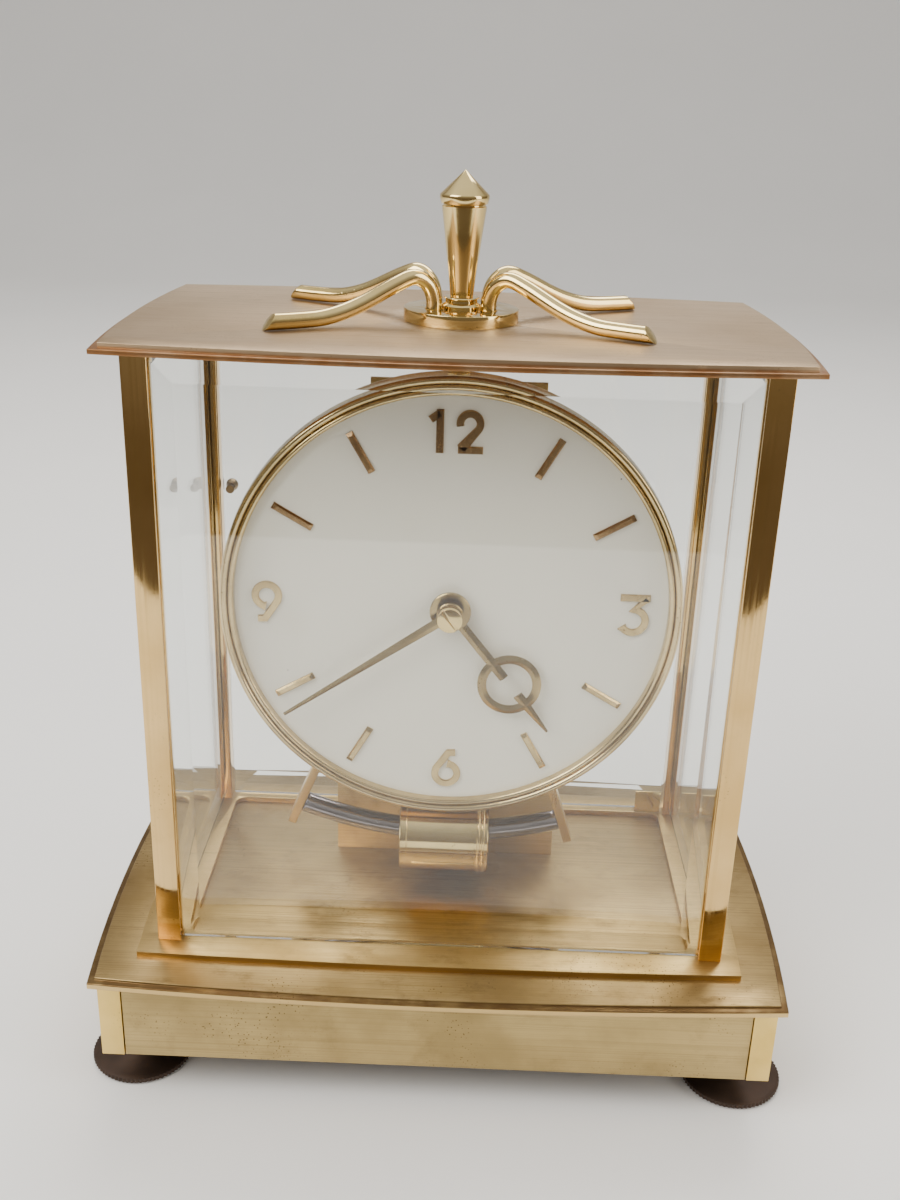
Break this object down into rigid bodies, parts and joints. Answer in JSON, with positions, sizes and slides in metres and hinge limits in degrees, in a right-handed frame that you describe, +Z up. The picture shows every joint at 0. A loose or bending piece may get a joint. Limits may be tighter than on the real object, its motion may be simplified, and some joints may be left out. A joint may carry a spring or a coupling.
{
  "type": "anniversary clock",
  "caption": "Four-glass mantel clock with bevelled panes, brass pillars and plinth, round dial, and a battery-driven pendulum swinging a curved magnet through a coil.",
  "frame": {"origin": "on the table under the middle of the case", "axes": "+X to the dial's right as read, +Y from the dial to the rear door, +Z up"},
  "size_m": [0.2132, 0.1326, 0.2621],
  "materials": {
    "brushed_brass": "brushed along the width, lightly tarnished",
    "lid_brass": "satin, brushed along the width",
    "rail_brass": "bright with small pits",
    "black_iron": "black painted",
    "rose_brass": "mirror polished, rose tone",
    "clear_glass": "clear, bevelled",
    "polished_brass": "polished, pitted with age",
    "dial_ivory": "silvery ivory, satin",
    "movement_brass": "plain machined",
    "gilt": "gilt, faceted",
    "dark_steel": "dark plated steel",
    "black_plastic": "moulded",
    "copper_wire": "enamelled wire",
    "battery_can": "printed can without lettering",
    "board_brown": "phenolic board"
  },
  "bodies": {
    "case": {"battery": "battery_can", "battery_box": "brushed_brass", "battery_contact_left": "polished_brass", "battery_contact_right": "polished_brass", "bezel": "polished_brass", "circuit_board": "board_brown", "coil_bobbin": "black_plastic", "coil_cover": "polished_brass", "coil_winding": "copper_wire", "dial_pan": "movement_brass", "dial_plate": "dial_ivory", "finial": "polished_brass", "finial_collar": "polished_brass", "finial_nut": "polished_brass", "floor_frame": "brushed_brass", "glass_front": "clear_glass", "glass_left": "clear_glass", "glass_right": "clear_glass", "handle_rod_front_left": "polished_brass", "handle_rod_front_right": "polished_brass", "handle_rod_rear_left": "polished_brass", "handle_rod_rear_right": "polished_brass", "handle_rosette": "polished_brass", "movement_back_plate": "movement_brass", "movement_front_plate": "movement_brass", "pillar_front_left": "rose_brass", "pillar_front_right": "rose_brass", "pillar_rear_left": "rose_brass", "pillar_rear_right": "rose_brass", "plinth_bottom": "black_iron", "plinth_cover": "brushed_brass", "plinth_rail_front": "brushed_brass", "plinth_rail_left": "rail_brass", "plinth_rail_rear": "brushed_brass", "plinth_rail_right": "rail_brass", "support_bracket": "brushed_brass", "suspension_cock": "polished_brass", "suspension_spring": "dark_steel", "top_plate": "lid_brass"},
    "minute_work": {"minute_hand": "gilt", "hand_nut": "gilt", "minute_arbor": "movement_brass", "setting_knob": "movement_brass"},
    "hour_work": {"hour_hand": "gilt", "hour_wheel": "movement_brass"},
    "intermediate_work": {"minute_wheel": "movement_brass"},
    "count_work": {"count_wheel": "movement_brass"},
    "pendulum": {"pendulum_hub": "polished_brass", "pendulum_arm_left": "polished_brass", "pendulum_arm_right": "polished_brass", "magnet_bar": "dark_steel", "drive_pawl": "dark_steel"},
    "rear_door": {"rear_door_glass": "clear_glass", "door_hinge_lower": "polished_brass", "door_hinge_upper": "polished_brass", "door_knob": "polished_brass"},
    "foot_screw_front_left": {"foot_front_left": "black_iron"},
    "foot_screw_front_right": {"foot_front_right": "black_iron"},
    "foot_screw_rear_left": {"foot_rear_left": "black_iron"},
    "foot_screw_rear_right": {"foot_rear_right": "black_iron"}
  },
  "joints": [
    {"name": "minute_turn", "type": "hinge", "parent": "case", "child": "minute_work", "pos_m": [0, 0, 0.1458], "axis": [0, 1, 0], "continuous": true},
    {"name": "hour_turn", "type": "hinge", "parent": "case", "child": "hour_work", "pos_m": [0, 0, 0.1458], "axis": [0, 1, 0], "continuous": true},
    {"name": "intermediate_turn", "type": "hinge", "parent": "case", "child": "intermediate_work", "pos_m": [0.012, 0, 0.1458], "axis": [0, 1, 0], "continuous": true},
    {"name": "count_turn", "type": "hinge", "parent": "case", "child": "count_work", "pos_m": [0, 0, 0.168], "axis": [0, 1, 0], "continuous": true},
    {"name": "pendulum_swing", "type": "hinge", "parent": "case", "child": "pendulum", "pos_m": [0, -0.004, 0.1835], "axis": [0, 1, 0], "range_deg": [-7.7, 3.3]},
    {"name": "rear_door_open", "type": "hinge", "parent": "case", "child": "rear_door", "pos_m": [0.0747, 0.04209, 0.1323], "axis": [0, 0, -1], "range_deg": [0, 95]},
    {"name": "foot_front_left_travel", "type": "slide", "parent": "case", "child": "foot_screw_front_left", "axis": [0, 0, 1], "range_m": [-0.002, 0.002]},
    {"name": "foot_front_right_travel", "type": "slide", "parent": "case", "child": "foot_screw_front_right", "axis": [0, 0, 1], "range_m": [-0.002, 0.002]},
    {"name": "foot_rear_left_travel", "type": "slide", "parent": "case", "child": "foot_screw_rear_left", "axis": [0, 0, 1], "range_m": [-0.002, 0.002]},
    {"name": "foot_rear_right_travel", "type": "slide", "parent": "case", "child": "foot_screw_rear_right", "axis": [0, 0, 1], "range_m": [-0.002, 0.002]}
  ],
  "couplings": [
    {"joint": "hour_turn", "follows": "minute_turn", "ratio": 0.083333},
    {"joint": "intermediate_turn", "follows": "minute_turn", "ratio": -0.33333}
  ]
}
